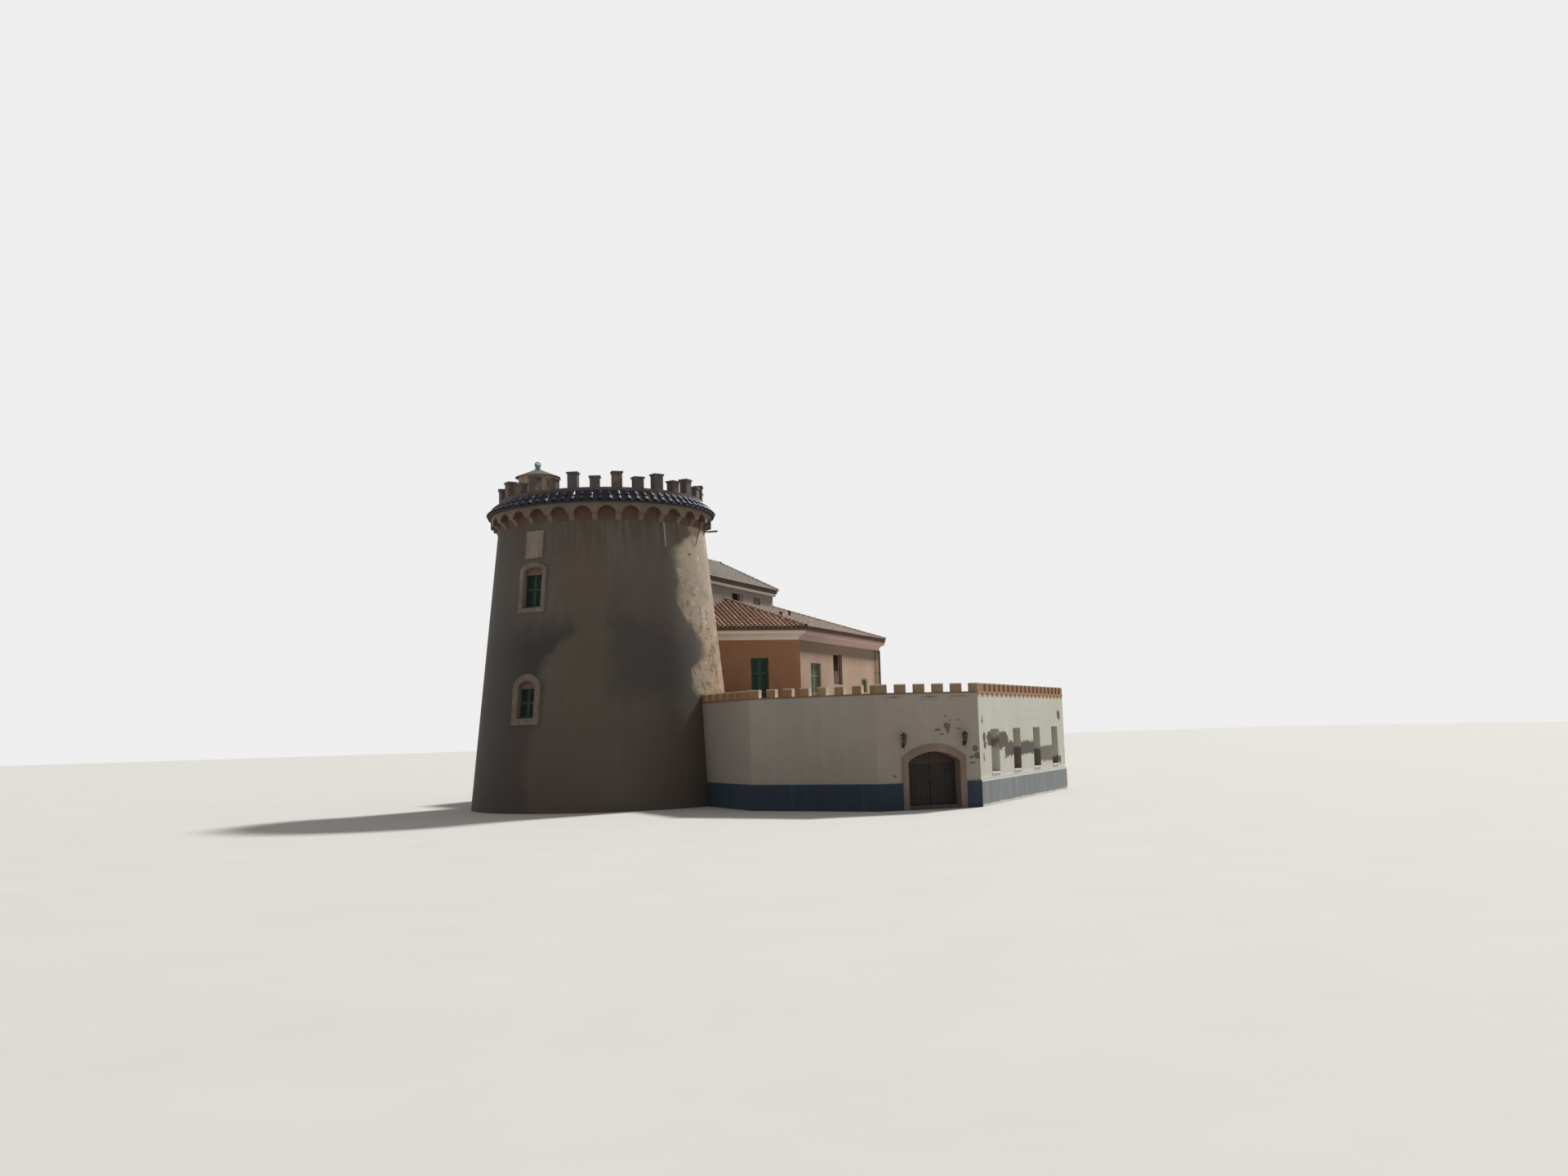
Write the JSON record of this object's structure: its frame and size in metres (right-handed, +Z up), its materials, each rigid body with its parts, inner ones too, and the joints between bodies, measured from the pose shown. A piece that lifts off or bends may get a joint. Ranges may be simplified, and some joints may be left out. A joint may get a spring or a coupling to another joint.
{
  "type": "martello tower",
  "caption": "Battered round coastal watchtower with corbelled, tiled parapet, joined to a battlemented wing with a double gate and a hipped keeper's house.",
  "frame": {"origin": "on the round tower's vertical axis, at ground level", "axes": "+X along the gate wall, to the right as one faces the gate; the gate faces -Y; +Z up"},
  "size_m": [30.77, 38.0778, 17.8],
  "materials": {
    "tower_render": "weathered lime render",
    "floor_slab": "plain paving",
    "brown_trim": "stained brown render",
    "glazed_tile": "dark glazed barrel tiles",
    "ochre_paint": "faded orange-brown limewash",
    "cream_render": "pale lime render",
    "turret_cap": "lichened render",
    "teal_glaze": "glazed ball",
    "dressed_stone": "dressed sandstone",
    "shutter_paint": "dark green paint, worn",
    "wing_render": "weathered off-white render",
    "plinth_render": "blue-grey stained render",
    "gate_timber": "dark stained planks",
    "black_iron": "black paint",
    "house_render": "pink-tan render",
    "cornice_paint": "mauve and cream limewash",
    "barrel_tile": "unglazed barrel tiles",
    "sage_joinery": "sage green paint",
    "pipe_paint": "dark paint, dull",
    "lilac_render": "grey-lilac render"
  },
  "bodies": {
    "building": {"tower_wall_front_left": "tower_render", "tower_wall_front": "tower_render", "tower_wall_right": "tower_render", "tower_wall_house_side": "tower_render", "tower_wall_back": "tower_render", "tower_wall_left": "tower_render", "tower_floors": "floor_slab", "roof_deck": "floor_slab", "corbel_table": "brown_trim", "tiled_skirt": "glazed_tile", "parapet": "ochre_paint", "parapet_merlons": "ochre_paint", "merlon_caps": "cream_render", "turret_wall": "cream_render", "turret_roof": "turret_cap", "turret_finial": "teal_glaze", "window_surrounds": "dressed_stone", "window_shutters": "shutter_paint", "plaque": "dressed_stone", "gate_wall_left": "wing_render", "gate_wall_right": "wing_render", "gate_wall_over": "wing_render", "wing_wall_slotted": "wing_render", "wing_blank_walls": "wing_render", "wing_plinth": "plinth_render", "wing_coping": "ochre_paint", "wing_merlons": "ochre_paint", "terrace_slab": "floor_slab", "wing_floor": "floor_slab", "gate_surround": "dressed_stone", "gate_threshold": "dressed_stone", "gate_pintles": "black_iron", "slot_sills": "dressed_stone", "slot_boards": "shutter_paint", "wall_lanterns": "black_iron", "house_end_walls": "house_render", "house_side_walls": "house_render", "house_back_walls": "house_render", "house_cornice": "cornice_paint", "house_roof": "barrel_tile", "house_floor": "floor_slab", "house_doors": "shutter_paint", "house_windows": "sage_joinery", "downpipes": "pipe_paint", "clerestory_walls": "lilac_render", "clerestory_roof": "barrel_tile"},
    "gate_leaf_left": {"gate_leaf_left": "gate_timber"},
    "gate_leaf_right": {"gate_leaf_right": "gate_timber"}
  },
  "joints": [
    {"name": "left_leaf_hinge", "type": "hinge", "parent": "building", "child": "gate_leaf_left", "pos_m": [10.692, -14.305, 1.35], "axis": [0, 0, 1], "range_deg": [0, 90]},
    {"name": "right_leaf_hinge", "type": "hinge", "parent": "building", "child": "gate_leaf_right", "pos_m": [13.218, -14.305, 1.35], "axis": [0, 0, 1], "range_deg": [-90, 0]}
  ]
}
